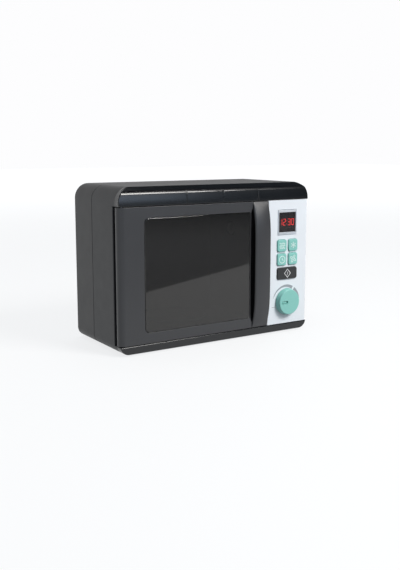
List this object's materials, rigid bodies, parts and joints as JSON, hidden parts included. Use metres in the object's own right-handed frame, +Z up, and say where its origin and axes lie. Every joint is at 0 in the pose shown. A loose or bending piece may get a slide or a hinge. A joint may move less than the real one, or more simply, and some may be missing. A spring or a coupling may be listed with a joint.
{
  "type": "toy microwave",
  "caption": "Toy microwave oven with a side-hinged windowed door, arched handle, push keys, timer dial, lit cavity with a turntable and a battery compartment behind.",
  "frame": {"origin": "middle of the outline, handle included, on the surface that the feet stand on", "axes": "+X to the right along the front, +Y from the front to the back, +Z up; the door and the controls face -Y"},
  "size_m": [0.29, 0.1386, 0.2055],
  "materials": {
    "gloss_black": "gloss",
    "satin_black": "satin",
    "anthracite": "satin",
    "panel_white": "soft gloss",
    "mint": "soft gloss",
    "key_grey": "satin",
    "chrome": "polished",
    "smoke": "gloss, see-through",
    "digit_red": "lit digits on a dark plate",
    "board_green": "solder mask",
    "steel": "zinc plated",
    "rubber": "matt",
    "lens_frost": "frosted",
    "led_clear": "clear",
    "cell_jacket": "printed film",
    "speaker_paper": "pressed paper",
    "white_plastic": "moulded",
    "red_lead": "insulated wire",
    "grey_lead": "insulated wire"
  },
  "bodies": {
    "cabinet": {"front_housing": "gloss_black", "rear_housing": "satin_black", "cavity_liner": "satin_black", "control_panel": "panel_white", "display_frame": "chrome", "display_window": "smoke", "display_digits": "digit_red", "circuit_board": "board_green", "click_spring": "steel", "speaker": "speaker_paper", "lamp_lens": "lens_frost", "lamp_led": "led_clear", "latch_catch": "white_plastic", "door_switch": "satin_black", "turntable_spindle": "white_plastic", "battery_1": "cell_jacket", "battery_2": "cell_jacket", "battery_contact_bridge": "steel", "battery_contact_positive": "steel", "battery_contact_negative": "steel", "speaker_lead": "red_lead", "lamp_lead": "grey_lead", "battery_lead": "red_lead", "foot_1": "rubber", "foot_2": "rubber", "foot_3": "rubber", "foot_4": "rubber", "housing_screw_1": "steel", "housing_screw_2": "steel", "housing_screw_3": "steel", "housing_screw_4": "steel", "housing_screw_5": "steel", "housing_screw_6": "steel", "switch_waves": "satin_black", "switch_defrost": "satin_black", "switch_clock": "satin_black", "switch_grill": "satin_black", "switch_start": "satin_black"},
    "door": {"door_frame": "anthracite", "door_window": "smoke", "door_back": "satin_black", "door_handle": "anthracite", "door_latch": "white_plastic", "hinge_pin_top": "steel", "hinge_pin_bottom": "steel", "handle_screw_1": "steel", "handle_screw_2": "steel"},
    "key_waves": {"key_waves": "mint"},
    "key_defrost": {"key_defrost": "mint"},
    "key_clock": {"key_clock": "mint"},
    "key_grill": {"key_grill": "mint"},
    "key_start": {"key_start": "key_grey"},
    "dial": {"timer_dial": "mint", "dial_shaft": "white_plastic"},
    "turntable": {"turntable_plate": "anthracite", "turntable_hub": "satin_black"},
    "battery_hatch": {"battery_hatch": "satin_black", "battery_hatch_screw": "steel"}
  },
  "joints": [
    {"name": "door_hinge", "type": "hinge", "parent": "cabinet", "child": "door", "pos_m": [-0.137, -0.0527, 0.097], "axis": [0, 0, -1], "range_deg": [0, 100]},
    {"name": "press_waves", "type": "slide", "parent": "cabinet", "child": "key_waves", "axis": [0, 1, 0], "range_m": [0, 0.0015], "stiffness_N_per_m": 500},
    {"name": "press_defrost", "type": "slide", "parent": "cabinet", "child": "key_defrost", "axis": [0, 1, 0], "range_m": [0, 0.0015], "stiffness_N_per_m": 500},
    {"name": "press_clock", "type": "slide", "parent": "cabinet", "child": "key_clock", "axis": [0, 1, 0], "range_m": [0, 0.0015], "stiffness_N_per_m": 500},
    {"name": "press_grill", "type": "slide", "parent": "cabinet", "child": "key_grill", "axis": [0, 1, 0], "range_m": [0, 0.0015], "stiffness_N_per_m": 500},
    {"name": "press_start", "type": "slide", "parent": "cabinet", "child": "key_start", "axis": [0, 1, 0], "range_m": [0, 0.0015], "stiffness_N_per_m": 500},
    {"name": "dial_turn", "type": "hinge", "parent": "cabinet", "child": "dial", "pos_m": [0.10905, -0.0607, 0.0426], "axis": [0, 1, 0], "range_deg": [0, 270]},
    {"name": "turntable_turn", "type": "hinge", "parent": "cabinet", "child": "turntable", "pos_m": [-0.03, 0.0058, 0.0207], "axis": [0, 0, 1], "continuous": true},
    {"name": "hatch_removal", "type": "slide", "parent": "cabinet", "child": "battery_hatch", "axis": [0, 1, 0], "range_m": [0, 0.025]}
  ]
}
